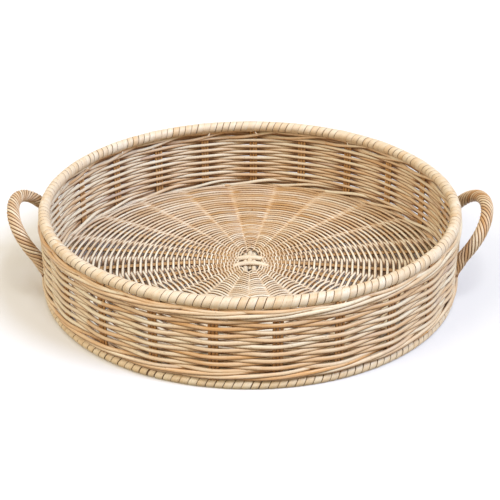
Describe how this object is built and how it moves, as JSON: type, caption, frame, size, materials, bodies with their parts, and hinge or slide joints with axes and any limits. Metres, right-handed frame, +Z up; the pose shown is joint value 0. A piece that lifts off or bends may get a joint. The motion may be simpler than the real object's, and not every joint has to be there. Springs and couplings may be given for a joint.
{
  "type": "rattan tray",
  "caption": "Round woven rattan tray with a low wall, a wrapped rim and foot ring, a domed woven base and a roped loop handle on either side.",
  "frame": {"origin": "on the floor under the middle of the tray", "axes": "+Z up out of the tray, +X towards the right handle, +Y to the back"},
  "size_m": [0.577, 0.5049, 0.109],
  "materials": {
    "rim_peel": "smooth flat peel with a low sheen",
    "foot_peel": "smooth flat peel with a low sheen",
    "core_cane": "raw round cane",
    "stake_cane": "raw round cane",
    "wall_weave": "raw round cane with fine lengthwise grain",
    "wale_cane": "raw round cane with fine lengthwise grain",
    "spoke_cane": "raw round cane",
    "base_weave": "raw round cane with fine lengthwise grain",
    "handle_cane": "raw round cane, twisted"
  },
  "bodies": {
    "root": {"rim_hoop": "core_cane", "foot_hoop": "core_cane", "handle_right_core": "core_cane", "handle_left_core": "core_cane", "rim_wrapping": "rim_peel", "foot_wrapping": "foot_peel", "wall_stakes_1": "stake_cane", "wall_stakes_2": "stake_cane", "wall_stakes_3": "stake_cane", "wall_stakes_4": "stake_cane", "wall_stakes_5": "stake_cane", "wall_stakes_6": "stake_cane", "wall_stakes_7": "stake_cane", "wall_stakes_8": "stake_cane", "wall_stakes_9": "stake_cane", "wall_stakes_10": "stake_cane", "wall_stakes_11": "stake_cane", "wall_stakes_12": "stake_cane", "wall_stakes_13": "stake_cane", "wall_stakes_14": "stake_cane", "wall_stakes_15": "stake_cane", "wall_stakes_16": "stake_cane", "wall_stakes_17": "stake_cane", "wall_stakes_18": "stake_cane", "wall_stakes_19": "stake_cane", "wall_stakes_20": "stake_cane", "wall_stakes_21": "stake_cane", "wall_stakes_22": "stake_cane", "wall_stakes_23": "stake_cane", "wall_weaver_1": "wall_weave", "wall_weaver_2": "wall_weave", "wall_weaver_3": "wall_weave", "wall_weaver_4": "wall_weave", "bottom_wale": "wale_cane", "top_wale": "wale_cane", "base_stick_across_1": "spoke_cane", "base_stick_across_2": "spoke_cane", "base_stick_along_1": "spoke_cane", "base_stick_along_2": "spoke_cane", "base_stick_along_3": "spoke_cane", "base_spokes_1": "spoke_cane", "base_spokes_2": "spoke_cane", "base_spokes_3": "spoke_cane", "base_spokes_4": "spoke_cane", "base_spokes_5": "spoke_cane", "base_spokes_6": "spoke_cane", "base_spokes_7": "spoke_cane", "base_spokes_8": "spoke_cane", "base_spokes_9": "spoke_cane", "base_spokes_10": "spoke_cane", "base_spokes_11": "spoke_cane", "base_spokes_12": "spoke_cane", "base_spokes_13": "spoke_cane", "base_weaver_1": "base_weave", "base_weaver_2": "base_weave", "base_weaver_3": "base_weave", "base_centre_weave": "base_weave", "handle_right_strands": "handle_cane", "handle_left_strands": "handle_cane"}
  },
  "joints": []
}
